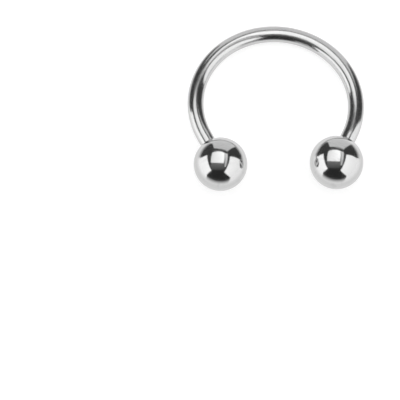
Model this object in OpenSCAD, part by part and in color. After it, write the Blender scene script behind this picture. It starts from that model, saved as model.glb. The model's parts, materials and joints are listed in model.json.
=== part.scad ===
// Horseshoe barbell, a circular barbell for a body piercing, in millimetres.
// It lies on a flat surface as it would by itself, on its two balls and the back of its arch.
// Left and right are as seen from the balls' side, looking along +Y.

/* [Ring] */
// Thickness of the round wire
wire_d = 1.2; // [0.8:0.1:1.6]
// Inside diameter of the bent wire
inner_d = 10.8; // [9:0.1:16]
// Part of the circle that the bend takes, in degrees
bend_sweep = 230.6; // [210:0.2:240]
// Straight wire that shows between the bend and each ball
straight_len = 0.72; // [0.3:0.02:2]
// How far the straight ends are ground below the surface of the bent wire, so that they run true
end_relief = 0.01; // [0.005:0.005:0.02]

/* [Balls] */
// Diameter of each ball
ball_d = 4; // [3:0.1:5]
// Metal left behind the blind hole, measured along its axis
ball_wall = 0.95; // [0.7:0.05:1.2]
// Width of the bevel round the mouth of the hole
mouth_bevel = 0.08; // [0.04:0.01:0.15]

/* [Thread] */
// Distance from one crest of the thread to the next
thread_pitch = 0.25; // [0.2:0.01:0.35]
// Depth of the thread's grooves in the wire and in the ball
thread_depth = 0.13; // [0.08:0.01:0.16]
// How far the thread's crests lie below the surface of the straight ends
crest_relief = 0.01; // [0.01:0.01:0.04]
// Bevel on the tip of the threaded end
tip_bevel = 0.15; // [0.05:0.01:0.25]

/* [Clearances] */
// Gap round the thread's crests inside the ball
thread_gap = 0.02; // [0.01:0.01:0.05]
// Gap between the end of the plain wire and the bevel that it screws up to
seat_gap = 0.05; // [0.03:0.01:0.1]
// Space between the tip of the thread and the full-width end of the hole
tip_gap = 0.25; // [0.1:0.05:0.4]

/* [Hidden] */
$fn = 96;

// Left is the side of -X and right that of +X
LEFT = -1;
RIGHT = 1;

// Included angle of the drill's point, which the hole keeps at its blind end
DRILL_POINT = 118;
// Share of the pitch that a groove takes at its mouth, the rest being its crest
GROOVE_SHARE = 0.8;
// Full turn of a circle, and half of one
TURN = 360;
HALF_TURN = 180;

steel = [0.78, 0.79, 0.80];

wire_r = wire_d / 2;
ball_r = ball_d / 2;
ring_r = inner_d / 2 + wire_r;
half_bend = bend_sweep / 2;

// Radii of a straight end and of the thread on it and round it
end_r = wire_r - end_relief;
crest_r = end_r - crest_relief;
root_r = crest_r - thread_depth;
hole_r = crest_r + thread_gap;
hole_root_r = hole_r + thread_depth;
mouth_r = hole_r + mouth_bevel;

// Heights along the axis of a ball's hole, from the ball's centre towards the wire
mouth_z = sqrt(ball_r * ball_r - mouth_r * mouth_r);
hole_top_z = mouth_z - mouth_bevel;
point_z = ball_wall - ball_r;
hole_end_z = point_z + hole_r / tan(DRILL_POINT / 2);
shoulder_z = hole_top_z + end_r - hole_r + seat_gap;
bend_z = mouth_z + straight_len;
tip_z = hole_end_z + tip_gap;
crest_top_z = shoulder_z - crest_relief;

// How far a straight end runs on inside the bend: far enough to be one with it, and too little to come out
run_in = wire_r / 4;

// Width of a groove at its mouth, and how many the wire and the ball have
groove_w = thread_pitch * GROOVE_SHARE;
bar_grooves = floor((crest_top_z - tip_z - tip_bevel) / thread_pitch);
ball_grooves = floor((hole_top_z - hole_end_z) / thread_pitch);

// How far back the balls' centres lie in the plane of the ring, whose centre is the origin and arch is at +Y
ball_y = ring_r * cos(half_bend) - bend_z * sin(half_bend);

// The ring lies on three points, so its plane slopes down from the balls to the arch
lie_angle = asin((ball_r - wire_r) / (ring_r - ball_y));
ring_z = wire_r + ring_r * sin(lie_angle);
arch_reach = ring_r * cos(lie_angle) + wire_r;
ball_reach = ball_r - ball_y * cos(lie_angle);
ring_y = (ball_reach - arch_reach) / 2;

// Carries a shape from the plane of the ring to where the ring lies
module lying() {
    translate([0, ring_y, ring_z])
        rotate([-lie_angle, 0, 0])
            children();
}

// Keeps a shape at the right, or turns it over to the left: it is alike above and below the ring's plane
module on_side(side) {
    rotate([0, side == LEFT ? HALF_TURN : 0, 0])
        children();
}

// Turns a shape about the ring's centre, so that the wire's right end, drawn along -Y, lies where it should
module at_end() {
    rotate([0, 0, 90 - half_bend])
        children();
}

// Carries a shape from the axis of the right ball's hole, with the ball's centre as its origin
module at_ball() {
    at_end()
        translate([ring_r, -bend_z, 0])
            rotate([-90, 0, 0])
                children();
}

// The bent stretch of the wire
module bend() {
    at_end()
        rotate_extrude(angle = bend_sweep)
            translate([ring_r, 0])
                circle(r = wire_r);
}

// One groove's corners going down the axis: its upper edge, its root and its lower edge
function groove(edge_r, bottom_r, top_z) = [
    [edge_r, top_z],
    [bottom_r, top_z - groove_w / 2],
    [edge_r, top_z - groove_w]
];

// Half outline of a straight end: plain wire, a bevel, the thread and a bevelled tip
function end_outline() = concat(
    [[0, bend_z + run_in], [end_r, bend_z + run_in], [end_r, shoulder_z]],
    [for (i = [0 : bar_grooves - 1], p = groove(crest_r, root_r, crest_top_z - i * thread_pitch)) p],
    [[crest_r, tip_z + tip_bevel], [crest_r - tip_bevel, tip_z], [0, tip_z]]
);

// Half outline of the hole: a bevelled mouth that runs out of the ball, the thread and the drill's point
function hole_outline() = concat(
    [[0, ball_r], [mouth_r + ball_r - mouth_z, ball_r]],
    [for (i = [0 : ball_grooves - 1], p = groove(hole_r, hole_root_r, hole_top_z - i * thread_pitch)) p],
    [[hole_r, hole_end_z], [0, point_z]]
);

// The wire: a bend with two threaded ends
module bar() {
    color(steel)
        lying() {
            bend();
            for (side = [LEFT, RIGHT])
                on_side(side)
                    at_ball()
                        rotate_extrude(angle = TURN)
                            polygon(end_outline());
        }
}

// One ball, with a blind threaded hole that points along the end of the wire
module ball(side) {
    color(steel)
        lying()
            on_side(side)
                at_ball()
                    difference() {
                        sphere(r = ball_r);
                        rotate_extrude(angle = TURN)
                            polygon(hole_outline());
                    }
}

module ball_left() {
    ball(LEFT);
}

module ball_right() {
    ball(RIGHT);
}

bar();
ball_left();
ball_right();
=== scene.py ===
# %% [markdown]
# # A horseshoe barbell in polished steel
#
# The real thing is a length of round steel wire, bent to an open circle and threaded at both ends, with a
# ball screwed on each end. All of it is polished like a mirror, so what a picture of it shows is mostly the
# studio that it lies in. The lesson sets up such a studio from white and dark cards, makes three smooth
# meshes, and gives them steel with the marks of polishing and wearing.
#
# Nothing is measured twice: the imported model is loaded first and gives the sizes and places. Its box is kept,
# so that the finished pieces can be set against it at the end.

# %% Load the frame
import json
from math import atan2, cos, pi, radians, sin, sqrt, tan

import bpy
from mathutils import Matrix, Vector


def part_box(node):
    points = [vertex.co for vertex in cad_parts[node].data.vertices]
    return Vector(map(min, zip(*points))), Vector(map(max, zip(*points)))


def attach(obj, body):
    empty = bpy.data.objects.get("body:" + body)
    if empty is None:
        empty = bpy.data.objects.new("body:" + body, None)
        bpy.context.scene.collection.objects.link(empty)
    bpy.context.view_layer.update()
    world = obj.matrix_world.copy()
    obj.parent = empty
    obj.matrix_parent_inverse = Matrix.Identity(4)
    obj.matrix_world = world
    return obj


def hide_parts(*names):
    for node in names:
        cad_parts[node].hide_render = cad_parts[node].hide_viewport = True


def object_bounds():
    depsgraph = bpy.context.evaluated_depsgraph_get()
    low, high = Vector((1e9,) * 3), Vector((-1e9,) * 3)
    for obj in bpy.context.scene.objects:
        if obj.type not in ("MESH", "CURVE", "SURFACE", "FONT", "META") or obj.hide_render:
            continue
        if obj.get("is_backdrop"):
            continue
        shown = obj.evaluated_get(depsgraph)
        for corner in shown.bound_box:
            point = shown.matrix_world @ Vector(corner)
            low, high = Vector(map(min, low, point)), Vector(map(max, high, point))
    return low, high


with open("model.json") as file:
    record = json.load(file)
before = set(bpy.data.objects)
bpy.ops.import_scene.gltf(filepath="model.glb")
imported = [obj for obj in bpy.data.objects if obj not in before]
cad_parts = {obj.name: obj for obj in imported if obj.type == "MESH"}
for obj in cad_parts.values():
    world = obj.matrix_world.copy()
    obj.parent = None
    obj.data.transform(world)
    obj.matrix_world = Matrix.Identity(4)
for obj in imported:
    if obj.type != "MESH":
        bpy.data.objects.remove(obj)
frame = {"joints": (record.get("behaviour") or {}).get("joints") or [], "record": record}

cad_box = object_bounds()

# %% [markdown]
# ## Sizes and places
#
# The wire's thickness and the middle of the arch come from the mount in the record, the balls from their
# boxes, and the way the wire's ends point from the joints that the balls slide along. The ring's plane, its
# centre and its bend follow from those. Typing them in again would be shorter, but then a change to the model
# would leave the looks behind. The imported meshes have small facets, so lengths read from them are rounded to
# a hundredth of a millimetre.

# %% Sizes and places from the frame
MM = 0.001  # a millimetre in Blender's metres
BALLS = ("ball_left", "ball_right")

piercing = frame["record"]["mounts"][0]
wire_r = piercing["dims"]["r_mm"] * MM
arch_back = Vector(piercing["pos_m"])
ring_r = round(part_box("bar")[1].x, 5) - wire_r

ball_r = round((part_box(BALLS[0])[1].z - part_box(BALLS[0])[0].z) / 2, 5)
ball_centre = {node: (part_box(node)[0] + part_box(node)[1]) / 2 for node in BALLS}
outward = {joint["child"]: Vector(joint["axis"]).normalized() for joint in frame["joints"]}

to_right = Vector((1, 0, 0))
to_arch = (arch_back - sum(ball_centre.values(), Vector()) / 2).normalized()
plane_up = to_right.cross(to_arch)
ring_centre = arch_back - ring_r * to_arch
half_bend = atan2(-outward["ball_right"].dot(to_arch), outward["ball_right"].dot(to_right))
print(f"wire {wire_r / MM:.2f} mm, ring {ring_r / MM:.2f} mm and ball {ball_r / MM:.2f} mm in radius")

# %% [markdown]
# ## The camera
#
# The picture looks down on the barbell from the side of its balls, from far enough away for both balls to
# look the same size. A camera could be moved by hand until its view looks right. Here it is placed by its
# angles round the object, as a photographer would think of it, and then turned a little, until the ring's
# centre lies at its pixel of the picture. A long lens does the framing, and nothing is shifted or out of
# focus.

# %% The camera at the picture's angle
PICTURE_SIDE = 400  # pixels
RING_CENTRE_PIXEL = (275.8, 104.7)
PIXELS_PER_MM = 13.374  # at the ring's centre
VIEW_AZIMUTH = radians(-10.29)
VIEW_ELEVATION = radians(69.35)
VIEW_ROLL = radians(8.85)
VIEW_DISTANCE = 300 * MM
SENSOR_WIDTH = 36  # in millimetres, as the lens is

focal_pixels = PIXELS_PER_MM * VIEW_DISTANCE / MM
back = Vector((
    sin(VIEW_AZIMUTH) * cos(VIEW_ELEVATION),
    -cos(VIEW_AZIMUTH) * cos(VIEW_ELEVATION),
    sin(VIEW_ELEVATION),
))
level = Vector((0, 0, 1)).cross(back).normalized()
right = cos(VIEW_ROLL) * level + sin(VIEW_ROLL) * back.cross(level)
up = back.cross(right)

off_x = RING_CENTRE_PIXEL[0] - PICTURE_SIDE / 2
off_y = PICTURE_SIDE / 2 - RING_CENTRE_PIXEL[1]
aim = (off_x * right + off_y * up + focal_pixels * back).normalized()
right = up.cross(aim).normalized()
up = aim.cross(right)

scene = bpy.context.scene
camera = bpy.data.objects.new("camera", bpy.data.cameras.new("camera"))
scene.collection.objects.link(camera)
scene.camera = camera
camera.data.sensor_width = SENSOR_WIDTH
camera.data.lens = SENSOR_WIDTH * focal_pixels / PICTURE_SIDE
camera.data.clip_start = 10 * MM
camera.data.clip_end = 5000 * MM
turned = Matrix((right, up, aim)).transposed()  # the camera's own axes as columns
camera.matrix_world = Matrix.Translation(ring_centre + VIEW_DISTANCE * back) @ turned.to_4x4()
print(f"lens {camera.data.lens:.0f} mm")

# %% [markdown]
# ## Node trees in code
#
# Each light and each finish below is a tree of shader nodes. It could be drawn by hand in the Shader editor.
# Written as code it says the same: a node, its values and its links. Three helpers keep such code as short as
# the idea behind it.

# %% Helpers for node trees
def add_node(tree, kind, inputs=None, **settings):
    """A new node of that kind. Inputs gives values for its sockets by name."""
    node = tree.nodes.new(kind)
    for name, value in (inputs or {}).items():
        node.inputs[name].default_value = value
    for name, value in settings.items():
        setattr(node, name, value)
    return node


def reach(tree, value, from_low, from_high, to_low=0.0, to_high=1.0):
    """The value, moved from one range to another. A bound that is a socket is linked."""
    node = add_node(tree, "ShaderNodeMapRange")
    tree.links.new(value, node.inputs["Value"])
    bounds = {"From Min": from_low, "From Max": from_high, "To Min": to_low, "To Max": to_high}
    for name, bound in bounds.items():
        if isinstance(bound, (int, float)):
            node.inputs[name].default_value = bound
        else:
            tree.links.new(bound, node.inputs[name])
    return node.outputs[0]


def mix_shaders(tree, share, first, second):
    """The first shader where the share is 0 and the second where it is 1."""
    node = add_node(tree, "ShaderNodeMixShader")
    tree.links.new(share, node.inputs[0])
    tree.links.new(first, node.inputs[1])
    tree.links.new(second, node.inputs[2])
    return node.outputs[0]


print("helpers:", add_node.__name__, reach.__name__, mix_shaders.__name__)

# %% [markdown]
# ## The room
#
# Behind the cards the studio's room is dark, and the steel needs that as much as it needs light: the black
# shapes in it are the gaps between the cards. A picture of a real studio could be wrapped round the scene
# instead, but then no gap could be moved. So the world is nearly black, and a little lighter at the back,
# where it catches some of the lamps' light. Only the camera itself sees it pale, so that the background runs
# on from the table.
#
# The Standard view shows each tone as it is made, so white stays white.

# %% The room
DARK_IN_FRONT, DARK_BEHIND = 0.03, 0.06
DARK_CHANGES = (-0.2, 0.7)  # from and to, as how far a direction points to the back
BACKGROUND_PALE = 1.0
WHITE = (1, 1, 1, 1)

scene.view_settings.view_transform = "Standard"
world = bpy.data.worlds.new("studio_world")
world.use_nodes = True
scene.world = world
room = world.node_tree
room.nodes.clear()

direction = add_node(room, "ShaderNodeSeparateXYZ")
room.links.new(add_node(room, "ShaderNodeTexCoord").outputs["Generated"], direction.inputs[0])
darkness = reach(room, direction.outputs["Y"], *DARK_CHANGES, DARK_IN_FRONT, DARK_BEHIND)
dark = add_node(room, "ShaderNodeBackground", {"Color": WHITE})
room.links.new(darkness, dark.inputs["Strength"])
pale = add_node(room, "ShaderNodeBackground", {"Color": WHITE, "Strength": BACKGROUND_PALE})
seen_by_camera = add_node(room, "ShaderNodeLightPath").outputs["Is Camera Ray"]
shown = mix_shaders(room, seen_by_camera, dark.outputs[0], pale.outputs[0])
room.links.new(shown, add_node(room, "ShaderNodeOutputWorld").inputs["Surface"])
print(f"room: {DARK_IN_FRONT} in front and {DARK_BEHIND} behind")

# %% [markdown]
# ## The light table
#
# The barbell lies on a light table, a sheet of white acrylic that glows from below, so that hardly a shadow
# shows. A lamp under a thin sheet could do that. A surface that gives off light itself is simpler, and has
# less noise. The glow is only part of what makes the sheet white: the rest is the cards' light on it, which
# the barbell keeps off where it touches, so the contact is still shaded. Further out the cards' light fades,
# and the glow rises to make up for it.
#
# Acrylic mirrors more the flatter a ray meets it. The camera looks down on it and sees almost nothing of
# that, but the balls' flanks look along it, and there the cards and the dark gaps between them run on over
# the table. A clear coat on the shader would do it by the book, but the picture's table mirrors more than
# that. So every ray but the camera's, which is to say those from the steel, meets a plain glow that turns
# into a mirror by how flat the ray comes in. Flat rays also meet the table further out, where the barbell
# shades it less, so for them the plain glow is brighter too.

# %% The acrylic of the light table
TABLE_WHITE = 0.60
TABLE_ROUGHNESS = 0.9
GLOW_AT_BARBELL, GLOW_OUTSIDE = 0.68, 1.0
GLOW_RISES = (100 * MM, 300 * MM)  # from and to, as distances from the middle
# the lower glow for steep rays is painted shade: the barbell's shadow on the table right under the balls, seen
# only in the steel
GLOW_SEEN_STEEPLY, GLOW_SEEN_FLATLY = 0.93, 1.15
TURNS_FLAT = (0.40, 0.75)  # of Layer Weight's facing, which is 0 straight down and 1 along the table
TURNS_MIRROR = (0.55, 0.92)
MIRROR_ROUGHNESS = 0.15


def new_material(name):
    """An empty node material, and its tree."""
    material = bpy.data.materials.new(name)
    material.use_nodes = True
    material.node_tree.nodes.clear()
    return material, material.node_tree


acrylic, tree = new_material("light_table_acrylic")
lit_acrylic = add_node(tree, "ShaderNodeBsdfPrincipled", {
    "Base Color": (TABLE_WHITE, TABLE_WHITE, TABLE_WHITE, 1),
    "Roughness": TABLE_ROUGHNESS,
    "Specular IOR Level": 0,
    "Emission Color": WHITE,
})
from_middle = add_node(tree, "ShaderNodeVectorMath", operation="LENGTH")
tree.links.new(add_node(tree, "ShaderNodeNewGeometry").outputs["Position"], from_middle.inputs[0])
lamp_below = reach(tree, from_middle.outputs["Value"], *GLOW_RISES, GLOW_AT_BARBELL, GLOW_OUTSIDE)
tree.links.new(lamp_below, lit_acrylic.inputs["Emission Strength"])

facing = add_node(tree, "ShaderNodeLayerWeight").outputs["Facing"]
glow = reach(tree, facing, *TURNS_FLAT, GLOW_SEEN_STEEPLY, GLOW_SEEN_FLATLY)
plain_glow = add_node(tree, "ShaderNodeEmission")
tree.links.new(glow, plain_glow.inputs["Strength"])
gloss = add_node(tree, "ShaderNodeBsdfGlossy", {"Color": WHITE, "Roughness": MIRROR_ROUGHNESS})
flatness = reach(tree, facing, *TURNS_MIRROR)
seen_by_steel = mix_shaders(tree, flatness, plain_glow.outputs[0], gloss.outputs[0])

camera_ray = add_node(tree, "ShaderNodeLightPath").outputs["Is Camera Ray"]
surface = mix_shaders(tree, camera_ray, seen_by_steel, lit_acrylic.outputs[0])
tree.links.new(surface, add_node(tree, "ShaderNodeOutputMaterial").inputs["Surface"])
print("material:", acrylic.name)

# %% Lay the table
TABLE_SIDE = 4000 * MM


def flat_sheet(name, corners, material):
    """A flat sheet that belongs to the studio."""
    mesh = bpy.data.meshes.new(name)
    mesh.from_pydata([tuple(corner) for corner in corners], [], [tuple(range(len(corners)))])
    mesh.materials.append(material)
    sheet = bpy.data.objects.new(name, mesh)
    scene.collection.objects.link(sheet)
    sheet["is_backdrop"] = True
    return sheet


half = TABLE_SIDE / 2
table_corners = [(-half, -half, 0), (half, -half, 0), (half, half, 0), (-half, half, 0)]
table = flat_sheet("light_table", table_corners, acrylic)
print(f"{table.name}: {TABLE_SIDE / MM:.0f} mm wide")

# %% [markdown]
# ## The cards
#
# A mirror has no look of its own, so the cards decide it: a softbox overhead with a pale flap along its right
# side and a rail behind it, a grey ceiling in front of it, a tall white card on each side, a grey one behind,
# and the dark room wherever there is a gap between them. Area lamps could light the steel as well, but a lamp
# is a plain rectangle in a mirror, and these shapes are not. Their places were read off the balls in the
# picture, which show the whole studio like a map.
#
# Each corner is given by where it lies, as shares of the distance to the studio's walls, and how brightly the
# card glows there. The card blends between its corners. The camera doesn't see the cards, so it can look in
# from any side.

# %% Where the cards hang
WALL = 350 * MM
CARDS = {
    # name: corners as (to the right, to the back, up, glow)
    "softbox": [(-0.98, -0.20, 1, 1.12), (0.20, -0.29, 1, 1.55), (0.30, 0.56, 1, 1.6),
                (0.05, 0.70, 1, 1.6), (-0.35, 0.79, 1, 1.55), (-0.80, 0.82, 1, 1.12)],
    "softbox_flap": [(0.26, -0.62, 1, 0.7), (0.40, -0.66, 1, 0.7), (0.56, 0.53, 1, 1.0),
                     (0.32, 0.55, 1, 1.0)],
    "softbox_rail": [(-0.8, 0.97, 1, 0.3), (0.42, 0.84, 1, 0.3), (0.42, 0.90, 1, 0.3),
                     (-0.8, 1.04, 1, 0.3)],
    "ceiling_grey": [(-1.36, -1.15, 1, 0.06), (0.32, -0.98, 1, 0.06), (0.20, -0.32, 1, 0.2),
                     (-1.00, -0.22, 1, 0.2)],
    "left_card": [(-1, -0.76, 0, 1.42), (-1, 0.36, 0, 1.38), (-1, 0.50, 0.55, 1.5), (-1, 0, 0.65, 1.5),
                  (-1, -0.93, 0.72, 1.5)],
    "right_card": [(0.95, 0.18, 0, 1.2), (1.0, -1.5, 0, 1.2), (0.37, -1.40, 1.0, 1.45),
                   (0.80, 0.34, 1.0, 1.42)],
    "back_card": [(-0.34, 1, 0, 0.80), (0.80, 1, 0, 0.80), (0.68, 1, 1.3, 0.76), (0.57, 1, 1.10, 0.76),
                  (-0.06, 1, 0.87, 0.78), (-0.48, 1, 0.62, 0.78)],
}

print("cards:", ", ".join(CARDS))

# %% Hang the cards
card_light, tree = new_material("card_light")
corner_glow = add_node(tree, "ShaderNodeAttribute", attribute_name="glow")
light = add_node(tree, "ShaderNodeEmission")
tree.links.new(corner_glow.outputs["Fac"], light.inputs["Strength"])
tree.links.new(light.outputs[0], add_node(tree, "ShaderNodeOutputMaterial").inputs["Surface"])


def store_numbers(mesh, name, numbers):
    """Give each point of the mesh a number, for a material to read by that name."""
    mesh.attributes.new(name, "FLOAT", "POINT").data.foreach_set("value", numbers)


for name, corners in CARDS.items():
    card = flat_sheet(name, [WALL * Vector(corner[:3]) for corner in corners], card_light)
    store_numbers(card.data, "glow", [corner[3] for corner in corners])
    card.visible_camera = False
print("corners that glow:", sum(len(corners) for corners in CARDS.values()))

# %% [markdown]
# ## Skinning round pieces
#
# The wire and the balls are both round about a line: the wire about its bent centre line, and a ball about
# the axis of its hole. Curves with a bevel, or a screw modifier, could make them, but neither can cut a
# thread that fades out where the die stopped. So each is a stack of rings of points with faces between the
# rings, closed by a fan at both ends. The rings lie close together, because a mirror shows every facet.

# %% Rings of points
ROUND_POINTS = 96


def spread(start, end, count):
    """Evenly spaced values from start up to, but without, end."""
    return [start + (end - start) * i / count for i in range(count)]


def joined(lists):
    """The values of all the lists, one after the other."""
    return [value for values in lists for value in values]


TURNS = spread(0, 2 * pi, ROUND_POINTS)


def ring(centre, side, top, radii):
    """Points round a centre, turning from side to top, each at its own radius."""
    return [centre + radius * (cos(turn) * side + sin(turn) * top) for turn, radius in zip(TURNS, radii)]


def faces_of_rings(count):
    """Faces between that many rings, and a fan at both ends, from two more points that come last."""
    faces = []
    for i in range(count - 1):
        here, there = i * ROUND_POINTS, (i + 1) * ROUND_POINTS
        for k in range(ROUND_POINTS):
            beside = (k + 1) % ROUND_POINTS
            faces.append((here + k, here + beside, there + beside, there + k))
    first_tip = count * ROUND_POINTS
    last_ring = first_tip - ROUND_POINTS
    for k in range(ROUND_POINTS):
        beside = (k + 1) % ROUND_POINTS
        faces.append((first_tip, beside, k))
        faces.append((first_tip + 1, last_ring + k, last_ring + beside))
    return faces


print(f"two rings make {len(faces_of_rings(2))} faces")

# %% [markdown]
# ## What the steel has to know
#
# Each point also stores three things for the material. Its place if the wire were straight, in millimetres,
# lets polishing lines follow the bend. How deep in a cut it lies makes the steel of the thread duller. And
# which way the line through the rings' centres runs there gives drawn wire its shine. A texture image could
# hold them too, but it would have to be unwrapped and painted, and numbers on the points are exact.

# %% A skin over the rings
def straight_ring(radius, along):
    """Where the points of a ring would lie if the wire were straight, in millimetres."""
    return [Vector((radius * cos(turn), radius * sin(turn), along)) / MM for turn in TURNS]


def store_vectors(mesh, name, vectors):
    """Give each point of the mesh a vector, for a material to read by that name."""
    mesh.attributes.new(name, "FLOAT_VECTOR", "POINT").data.foreach_set("vector", joined(vectors))


def skin(name, rings, straightened, cuts):
    """A closed, smoothly shaded mesh. The last two lists hold a value for each point of each ring."""
    last = len(rings) - 1
    centres = [sum(points, Vector()) / ROUND_POINTS for points in rings]
    mesh = bpy.data.meshes.new(name)
    mesh.from_pydata(joined(rings) + [centres[0], centres[last]], [], faces_of_rings(len(rings)))
    mesh.shade_smooth()

    tips = [sum(straightened[i], Vector()) / ROUND_POINTS for i in (0, last)]
    store_vectors(mesh, "straightened", joined(straightened) + tips)
    store_numbers(mesh, "cut", joined(cuts) + [cuts[0][0], cuts[last][0]])
    ways = [(centres[min(i + 1, last)] - centres[max(i - 1, 0)]).normalized() for i in range(last + 1)]
    store_vectors(mesh, "along", joined([way] * ROUND_POINTS for way in ways) + [ways[0], ways[last]])

    mesh.validate()
    piece = bpy.data.objects.new(name, mesh)
    scene.collection.objects.link(piece)
    print(f"{name}: {len(mesh.vertices)} points, {len(mesh.polygons)} faces")
    return piece


print("skins store: straightened, cut, along")

# %% [markdown]
# ## The thread
#
# A real barbell this thin has a 1.2 mm thread with a pitch of 0.25 mm, cut with a die on the wire and with a
# tap in the ball. The model's solids hold it as rings so that the balls can slide. A bump in the material
# could hint at it, but its outline would stay smooth. Here it is the real helix, made by moving the rings'
# points in or out by how far round the screw they are. Its crests and roots keep the radii of the solids, so
# it still clears as a ball slides off.
#
# Heights run along a ball's hole, from the ball's centre towards the wire.

# %% Radii and heights of the thread
THREAD_PITCH = 0.25 * MM
THREAD_DEPTH = 0.13 * MM
END_RELIEF = 0.01 * MM  # how far the straight ends are ground below the bent wire
CREST_RELIEF = 0.01 * MM  # and the thread's crests below the straight ends
THREAD_GAP = 0.02 * MM  # round the crests inside the ball
MOUTH_BEVEL = 0.08 * MM
BALL_WALL = 0.95 * MM  # from the drill's point to the ball's surface
DRILL_POINT = radians(118)
TIP_GAP = 0.25 * MM  # from the end of the hole's full width to the wire's tip
TIP_BEVEL = 0.15 * MM
SEAT_GAP = 0.05 * MM  # between the wire's shoulder and the bevel of the hole

end_r = wire_r - END_RELIEF
crest_r = end_r - CREST_RELIEF
hole_r = crest_r + THREAD_GAP
mouth_r = hole_r + MOUTH_BEVEL

mouth_z = sqrt(ball_r ** 2 - mouth_r ** 2)
hole_top_z = mouth_z - MOUTH_BEVEL
point_z = BALL_WALL - ball_r
drill_slope = 1 / tan(DRILL_POINT / 2)
hole_end_z = point_z + hole_r * drill_slope
tip_z = hole_end_z + TIP_GAP
shoulder_z = hole_top_z + end_r - hole_r + SEAT_GAP
crest_top_z = shoulder_z - CREST_RELIEF
print(f"the thread on the wire has {(crest_top_z - tip_z) / THREAD_PITCH:.1f} turns")

# %% The helix
GROOVE_SHARE = 0.8  # of the pitch, the rest being crest
DULL_WHERE_CUT, DULLER_IN_GROOVE = 0.4, 0.6


def groove(height, turn):
    """How deep in the wire's groove a place lies: 0 on the crest and 1 at the root."""
    along = (height / THREAD_PITCH - turn / (2 * pi)) % 1
    return max(0, 1 - abs(along - 0.5) * 2 / GROOVE_SHARE)


def fade(height, low, high):
    """0 at both ends of the thread and 1 a pitch further in, where the cut has its full depth."""
    return max(0, min(1, (height - low) / THREAD_PITCH, (high - height) / THREAD_PITCH))


def dullness_of_cut(cut, depth):
    """How dull the steel is that a tool cut and no wheel could reach, by its depth in a groove."""
    return DULL_WHERE_CUT * cut + DULLER_IN_GROOVE * depth


print(f"half a pitch up, the groove is {groove(THREAD_PITCH / 2, 0):.0%} deep")

# %% [markdown]
# ## The balls
#
# A ball is turned and polished, drilled, tapped, and given a small bevel round the mouth of the hole. A
# sphere with a hole cut by a boolean would leave long thin faces at the edge, and those show in a mirror. So
# one stack of rings goes over all of it: from the pole behind the hole, over the sphere to the mouth, down
# the bevel and the thread, and down the cone that the drill's point left. Rings close to the mouth's edge
# keep the rest of the surface true, and round the edge a little as polishing does.

# %% Make the balls
SPHERE_RINGS = 110
RINGS_A_PITCH = 12
BEVEL_RINGS = 4
CONE_RINGS = 5
EDGE = 0.012 * MM  # how wide the rounding of an edge is


def ball_stations():
    """(height, radius, whether it is in the thread) of each ring, from behind the hole to its bottom."""
    edge_r = mouth_r + EDGE
    mouth_angle = atan2(edge_r, -sqrt(ball_r ** 2 - edge_r ** 2))
    angles = spread(0, mouth_angle, SPHERE_RINGS)[1:] + [mouth_angle]
    sphere = [(-ball_r * cos(angle), ball_r * sin(angle), False) for angle in angles]
    edge = [
        (mouth_z - EDGE / 4, mouth_r + EDGE / 4, False),
        (mouth_z - EDGE / 2, mouth_r - EDGE / 4, False),
    ]
    drops = [EDGE + drop for drop in spread(0, MOUTH_BEVEL - 2 * EDGE, BEVEL_RINGS)]
    bevel = [(mouth_z - drop, mouth_r - drop, False) for drop in drops]
    thread_rings = round((hole_top_z - hole_end_z) / THREAD_PITCH * RINGS_A_PITCH)
    thread = [(height, hole_r, True) for height in spread(hole_top_z, hole_end_z, thread_rings)]
    cone = [(point_z + radius * drill_slope, radius, False) for radius in spread(hole_r, 0, CONE_RINGS)]
    return sphere + edge + bevel + thread + cone


def make_ball(name, node):
    """A ball with its threaded hole, in the place of that node of the frame."""
    towards_wire = -outward[node]
    side = plane_up
    top = towards_wire.cross(side)
    rings, places, cuts = [], [], []
    for height, radius, threaded in ball_stations():
        centre = ball_centre[node] + height * towards_wire
        full = fade(height, hole_end_z, hole_top_z) if threaded else 0
        depths = [full * groove(height + THREAD_PITCH / 2, turn) for turn in TURNS]
        in_hole = height > point_z and radius <= hole_r
        rings.append(ring(centre, side, top, [radius + THREAD_DEPTH * depth for depth in depths]))
        places.append(straight_ring(radius, height))
        cuts.append([dullness_of_cut(in_hole, depth) for depth in depths])
    return skin(name, rings, places, cuts)


screw_balls = {node: make_ball("screw_" + node, node) for node in BALLS}

# %% [markdown]
# ## The wire
#
# The wire is cut to length, threaded while it is straight, and bent round a former. One skin follows that
# centre line: up the left end, round the bend, and down the right end. Three pieces joined would be easier,
# but each joint would show as a line in the mirror. Along the straight ends the radius goes from the wire's
# own to that of the ground end, then through a small bevel to the thread, and in to the bevelled tip. Both
# ends are turned by the same rule about their own axis, so both threads are right-handed.

# %% The straight ends of the wire
SHOULDER_RINGS = 2
PLAIN_END_RINGS = 14

bend_end = ring_centre + ring_r * (cos(half_bend) * to_arch + sin(half_bend) * to_right)
bend_z = (bend_end - ball_centre["ball_right"]).dot(-outward["ball_right"])


def end_radius(height, turn):
    """Radius of a straight end of the wire at a height and turn."""
    if height >= shoulder_z:
        share = (height - shoulder_z) / (bend_z - shoulder_z)
        return end_r + (wire_r - end_r) * share * share * (3 - 2 * share)  # level at both ends
    if height >= crest_top_z:
        return end_r - (shoulder_z - height)
    cut = THREAD_DEPTH * groove(height, turn) * fade(height, tip_z, crest_top_z)
    return min(crest_r - cut, crest_r - (tip_z + TIP_BEVEL - height))


def end_stations():
    """Heights of the rings of a straight end, from its tip to the bend."""
    thread_rings = round((crest_top_z - tip_z) / THREAD_PITCH * RINGS_A_PITCH)
    thread = spread(tip_z, crest_top_z, thread_rings)
    shoulder = spread(crest_top_z, shoulder_z, SHOULDER_RINGS)
    return thread + shoulder + spread(shoulder_z, bend_z, PLAIN_END_RINGS)


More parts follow.
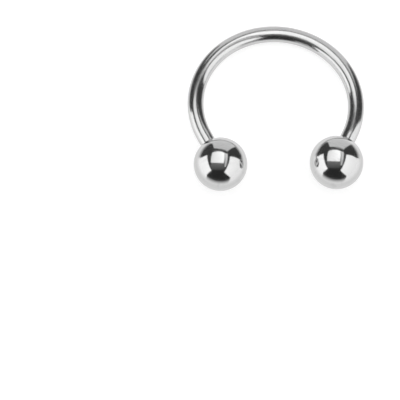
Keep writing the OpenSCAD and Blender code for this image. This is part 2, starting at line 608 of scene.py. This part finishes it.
def end_rings(node, hand):
    """Rings, places and cuts of one end, tip first. Hand is -1 where the centre line comes down."""
    towards_wire = -outward[node]
    top = hand * towards_wire.cross(plane_up)
    half_arc = ring_r * half_bend + bend_z
    turns = [hand * turn for turn in TURNS]
    rings, places, cuts = [], [], []
    for height in end_stations():
        centre = ball_centre[node] + height * towards_wire
        full = fade(height, tip_z, crest_top_z)
        rings.append(ring(centre, plane_up, top, [end_radius(height, turn) for turn in turns]))
        places.append(straight_ring(wire_r, -hand * (half_arc - height)))
        cuts.append([dullness_of_cut(full, full * groove(height, turn)) for turn in turns])
    return rings, places, cuts


left_end, right_end = end_rings("ball_left", 1), end_rings("ball_right", -1)
print(f"each end has {len(left_end[0])} rings and {(bend_z - mouth_z) / MM:.2f} mm of it shows")

# %% The bend, and one skin over all of it
BEND_RINGS = 200


def bend_rings():
    """Rings, places and cuts of the bent stretch, from left to right."""
    rings, places, cuts = [], [], []
    for angle in spread(-half_bend, half_bend, BEND_RINGS) + [half_bend]:
        out = cos(angle) * to_arch + sin(angle) * to_right
        along = cos(angle) * to_right - sin(angle) * to_arch
        centre = ring_centre + ring_r * out
        rings.append(ring(centre, plane_up, along.cross(plane_up), [wire_r] * ROUND_POINTS))
        places.append(straight_ring(wire_r, ring_r * angle))
        cuts.append([0.0] * ROUND_POINTS)
    return rings, places, cuts


stretches = zip(left_end, bend_rings(), right_end)
horseshoe_wire = skin("horseshoe_wire", *[rise + arc + fall[::-1] for rise, arc, fall in stretches])

# %% [markdown]
# ## Marks of polishing and wearing
#
# Polished steel isn't a perfect mirror. Buffing leaves lines too fine to see one by one, a faint haze where
# the wheel pressed less, and a surface that is very slightly uneven. A photograph of scratches could be laid
# over it, but it would stretch on a ball and repeat along the wire, so the marks come from noise in space.
#
# The wire and the balls share these effects, so they are one node group, with its own numbers in each
# material: hairlines along the wire, and faint rings round the axis of a ball's hole, as it was turned. Its
# place input is the straightened position, so that hairlines follow the bend.

# %% The node group and its sockets
FLOAT, VECTOR, COLOUR = "NodeSocketFloat", "NodeSocketVector", "NodeSocketColor"


def new_group(name, inputs, outputs):
    """An empty shader node group with those sockets, and its input and output nodes."""
    group = bpy.data.node_groups.new(name, "ShaderNodeTree")
    for socket, kind in inputs.items():
        group.interface.new_socket(name=socket, in_out="INPUT", socket_type=kind)
    for socket, kind in outputs.items():
        group.interface.new_socket(name=socket, in_out="OUTPUT", socket_type=kind)
    return group, group.nodes.new("NodeGroupInput"), group.nodes.new("NodeGroupOutput")


marks, given, made = new_group(
    "polishing_marks",
    {"Place": VECTOR, "Stretch": VECTOR, "Cut": FLOAT, "Clean Steel": COLOUR, "Dull Steel": COLOUR,
     "Least Roughness": FLOAT, "Most Roughness": FLOAT},
    {"Steel": COLOUR, "Roughness": FLOAT, "Height": FLOAT},
)
print("group:", marks.name)

# %% Hairlines, haze and unevenness
HAIRLINE_NOISE = (14, 4)  # scale, in waves a millimetre before the place is stretched, and detail
HAZE_NOISE = (0.9, 3)
UNEVEN_NOISE = (1.1, 1)
HAIRLINES_SHOW = (0.52, 0.74)  # the noise at which they start to show, and that at which they are full
HAZE_SHOWS = (0.35, 0.7)
HAIRLINE_HEIGHT = 0.02  # as a share of the unevenness


def combine(tree, how, one, other):
    """Two values put together by a Math node."""
    node = add_node(tree, "ShaderNodeMath", operation=how)
    for i, value in enumerate((one, other)):
        if isinstance(value, (int, float)):
            node.inputs[i].default_value = value
        else:
            tree.links.new(value, node.inputs[i])
    return node.outputs[0]


def noise(tree, place, scale, detail):
    """The value of a noise texture at that place."""
    texture = add_node(tree, "ShaderNodeTexNoise", {"Scale": scale, "Detail": detail})
    tree.links.new(place, texture.inputs["Vector"])
    return texture.outputs[0]


stretched = add_node(marks, "ShaderNodeVectorMath", operation="MULTIPLY")
marks.links.new(given.outputs["Place"], stretched.inputs[0])
marks.links.new(given.outputs["Stretch"], stretched.inputs[1])
streaks = noise(marks, stretched.outputs[0], *HAIRLINE_NOISE)
haze = noise(marks, given.outputs["Place"], *HAZE_NOISE)
unevenness = noise(marks, given.outputs["Place"], *UNEVEN_NOISE)

hairlines = reach(marks, streaks, *HAIRLINES_SHOW)
wear = combine(marks, "MULTIPLY", hairlines, reach(marks, haze, *HAZE_SHOWS))
dullness = combine(marks, "MAXIMUM", wear, given.outputs["Cut"])
roughness = reach(marks, dullness, 0, 1, given.outputs["Least Roughness"], given.outputs["Most Roughness"])
marks.links.new(roughness, made.inputs["Roughness"])

tint = add_node(marks, "ShaderNodeMix", data_type="RGBA")
marks.links.new(dullness, tint.inputs[0])
marks.links.new(given.outputs["Clean Steel"], tint.inputs[6])  # colours A and B of the node
marks.links.new(given.outputs["Dull Steel"], tint.inputs[7])
marks.links.new(tint.outputs[2], made.inputs["Steel"])

height = combine(marks, "ADD", unevenness, combine(marks, "MULTIPLY", streaks, HAIRLINE_HEIGHT))
marks.links.new(height, made.inputs["Height"])
print("nodes in the group:", len(marks.nodes))

# %% [markdown]
# ## Two steels
#
# The same steel is drawn for the wire and turned for the balls. One material could do for both, but they
# mirror differently: drawing leaves lines that blur a reflection across the wire and not along it. Each
# material is a metal shader with the group's colour, roughness and height on it. What is the same all over,
# such as being metal, is set on the shader itself.

# %% Make the materials
CLEAN_STEEL = (0.63, 0.63, 0.63, 1)
DULL_STEEL = (0.52, 0.52, 0.52, 1)
WAVE_HEIGHT = 0.0008 * MM
ACROSS_THE_WIRE = 0.25  # of a full turn, from the way that the wire runs


def polished_steel(name, stretch, least, most, drawn):
    """Mirror-polished steel, from least to most rough.

    Stretch gives its marks their direction. Drawn is how much more it blurs across the wire than along it.
    """
    material, tree = new_material(name)
    place = add_node(tree, "ShaderNodeAttribute", attribute_name="straightened")
    cut = add_node(tree, "ShaderNodeAttribute", attribute_name="cut")
    polish = add_node(tree, "ShaderNodeGroup", node_tree=marks)
    polish.inputs["Stretch"].default_value = stretch
    polish.inputs["Clean Steel"].default_value = CLEAN_STEEL
    polish.inputs["Dull Steel"].default_value = DULL_STEEL
    polish.inputs["Least Roughness"].default_value = least
    polish.inputs["Most Roughness"].default_value = most
    tree.links.new(place.outputs["Vector"], polish.inputs["Place"])
    tree.links.new(cut.outputs["Fac"], polish.inputs["Cut"])

    bump = add_node(tree, "ShaderNodeBump", {"Strength": 1, "Distance": WAVE_HEIGHT})
    tree.links.new(polish.outputs["Height"], bump.inputs["Height"])
    steel = add_node(tree, "ShaderNodeBsdfPrincipled", {
        "Metallic": 1,
        "Anisotropic": drawn,
        "Anisotropic Rotation": ACROSS_THE_WIRE,
    })
    if drawn:
        along = add_node(tree, "ShaderNodeAttribute", attribute_name="along")
        tree.links.new(along.outputs["Vector"], steel.inputs["Tangent"])
    tree.links.new(polish.outputs["Steel"], steel.inputs["Base Color"])
    tree.links.new(polish.outputs["Roughness"], steel.inputs["Roughness"])
    tree.links.new(bump.outputs["Normal"], steel.inputs["Normal"])
    tree.links.new(steel.outputs[0], add_node(tree, "ShaderNodeOutputMaterial").inputs["Surface"])
    return material


wire_steel = polished_steel("drawn_steel", stretch=(1, 1, 0.05), least=0.17, most=0.28, drawn=0.75)
ball_steel = polished_steel("turned_steel", stretch=(0.08, 0.08, 0.7), least=0.12, most=0.22, drawn=0)
print("materials:", wire_steel.name, ball_steel.name)

# %% [markdown]
# ## Put them in place of the frame's nodes
#
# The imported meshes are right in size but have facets, which a mirror shows. They could be smoothed, but their
# thread would stay a stack of rings. So each of them is hidden, and its smooth piece rides on the same body,
# so that the balls still unscrew.

# %% Dress the frame
horseshoe_wire.data.materials.append(wire_steel)
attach(horseshoe_wire, "bar")
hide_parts("bar")

for node, ball in screw_balls.items():
    ball.data.materials.append(ball_steel)
    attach(ball, node)
    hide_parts(node)
print("dressed: bar,", ", ".join(screw_balls))

# %% [markdown]
# ## Finish
#
# The looks must not change the size. The box of the finished pieces is set against that of the imported model,
# and how far it grew is printed.

# %% Compare the sizes and finish
dressed_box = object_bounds()
grown = [round((dressed_box[i][k] - cad_box[i][k]) / MM, 4) for i in (0, 1) for k in range(3)]
print("grown by", grown, "mm")
